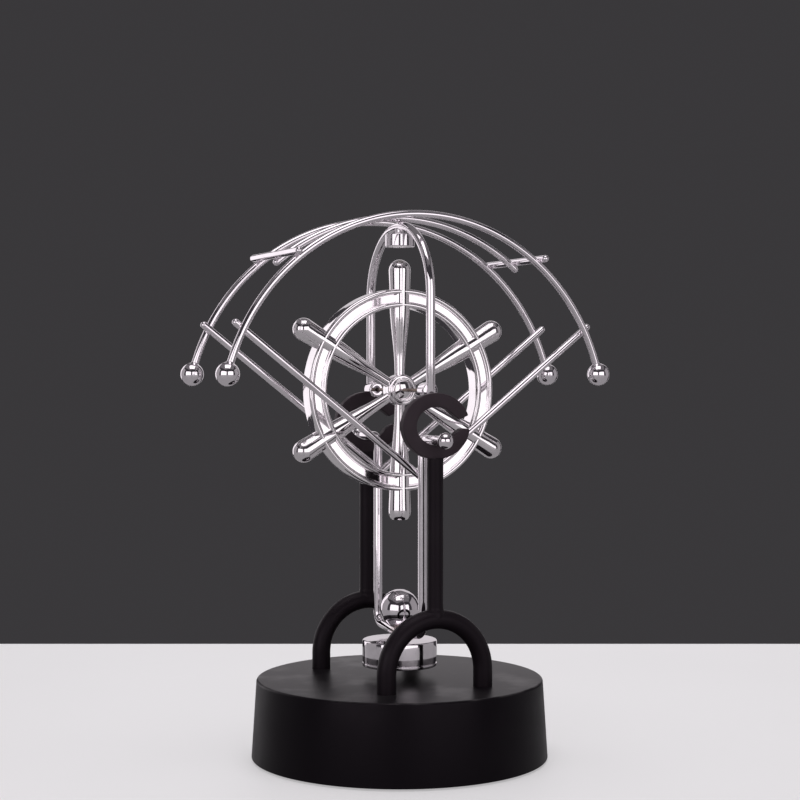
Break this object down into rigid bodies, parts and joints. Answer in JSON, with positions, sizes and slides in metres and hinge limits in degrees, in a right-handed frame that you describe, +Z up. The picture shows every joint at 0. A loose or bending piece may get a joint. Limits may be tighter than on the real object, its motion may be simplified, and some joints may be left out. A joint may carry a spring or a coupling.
{
  "type": "magnetic desk sculpture",
  "caption": "Swinging desk sculpture: a chrome wire pendulum carrying a ship's wheel rocks in two open hooks over a round battery base with a hidden drive coil.",
  "frame": {"origin": "centre of the round base, on the surface it stands on", "axes": "+Z up; +X along the wheel, to the right seen from the front, the side both hooks open to; +Y to the back, along the swing axis"},
  "size_m": [0.1426, 0.1, 0.1832],
  "materials": {
    "base_black": "satin",
    "cover_black": "matte",
    "pad_rubber": "matte",
    "stand_black": "satin",
    "screw_steel": "satin",
    "cell_can": "gloss",
    "contact_steel": "satin",
    "bobbin_white": "satin",
    "coil_copper": "gloss",
    "core_iron": "satin",
    "board_green": "satin",
    "component_black": "satin",
    "lead_red": "satin",
    "chrome_steel": "polished",
    "chromed_plastic": "polished",
    "pin_steel": "satin",
    "magnet": "satin"
  },
  "bodies": {
    "root": {"base_shell": "base_black", "rubber_pads": "pad_rubber", "plate_screws": "screw_steel", "stand_screws": "screw_steel", "board_screws": "screw_steel", "battery_1": "cell_can", "battery_2": "cell_can", "battery_3": "cell_can", "battery_4": "cell_can", "battery_contacts": "contact_steel", "battery_springs": "contact_steel", "coil_bobbin": "bobbin_white", "drive_coil": "coil_copper", "coil_core": "core_iron", "circuit_board": "board_green", "board_components": "component_black", "board_leads": "lead_red", "front_foot": "stand_black", "front_post": "stand_black", "front_hook": "stand_black", "rear_foot": "stand_black", "rear_post": "stand_black", "rear_hook": "stand_black", "base_plate": "cover_black"},
    "pendulum": {"hanger": "chrome_steel", "front_pivot_ball": "chrome_steel", "rear_pivot_ball": "chrome_steel", "weight_ball": "chrome_steel", "magnet_cup": "chrome_steel", "front_arc": "chrome_steel", "rear_arc": "chrome_steel", "middle_arc": "chrome_steel", "front_left_ball": "chrome_steel", "front_right_ball": "chrome_steel", "rear_left_ball": "chrome_steel", "rear_right_ball": "chrome_steel", "left_cross_rod": "chrome_steel", "right_cross_rod": "chrome_steel", "front_left_brace": "chrome_steel", "front_right_brace": "chrome_steel", "rear_left_brace": "chrome_steel", "rear_right_brace": "chrome_steel", "wheel_yoke": "chrome_steel", "front_bearing": "chrome_steel", "rear_bearing": "chrome_steel", "top_magnet_cup": "chrome_steel", "cup_magnet": "magnet", "top_magnet": "magnet"},
    "wheel": {"spoke_right_upper": "chromed_plastic", "spoke_top": "chromed_plastic", "spoke_left_upper": "chromed_plastic", "spoke_left_lower": "chromed_plastic", "spoke_bottom": "chromed_plastic", "spoke_right_lower": "chromed_plastic", "wheel_rim": "chromed_plastic", "wheel_hub": "chromed_plastic", "hub_caps": "chromed_plastic", "wheel_pin": "pin_steel", "handle_magnet": "magnet"},
    "battery_door": {"battery_door": "cover_black"}
  },
  "joints": [
    {"name": "pendulum_swing", "type": "hinge", "parent": "root", "child": "pendulum", "pos_m": [0, 0, 0.108], "axis": [0, 1, 0], "range_deg": [-30, 30]},
    {"name": "wheel_spin", "type": "hinge", "parent": "pendulum", "child": "wheel", "pos_m": [0, 0, 0.1241], "axis": [0, 1, 0], "continuous": true},
    {"name": "battery_door_pull", "type": "slide", "parent": "root", "child": "battery_door", "axis": [0, 0, -1], "range_m": [0, 0.02]}
  ]
}
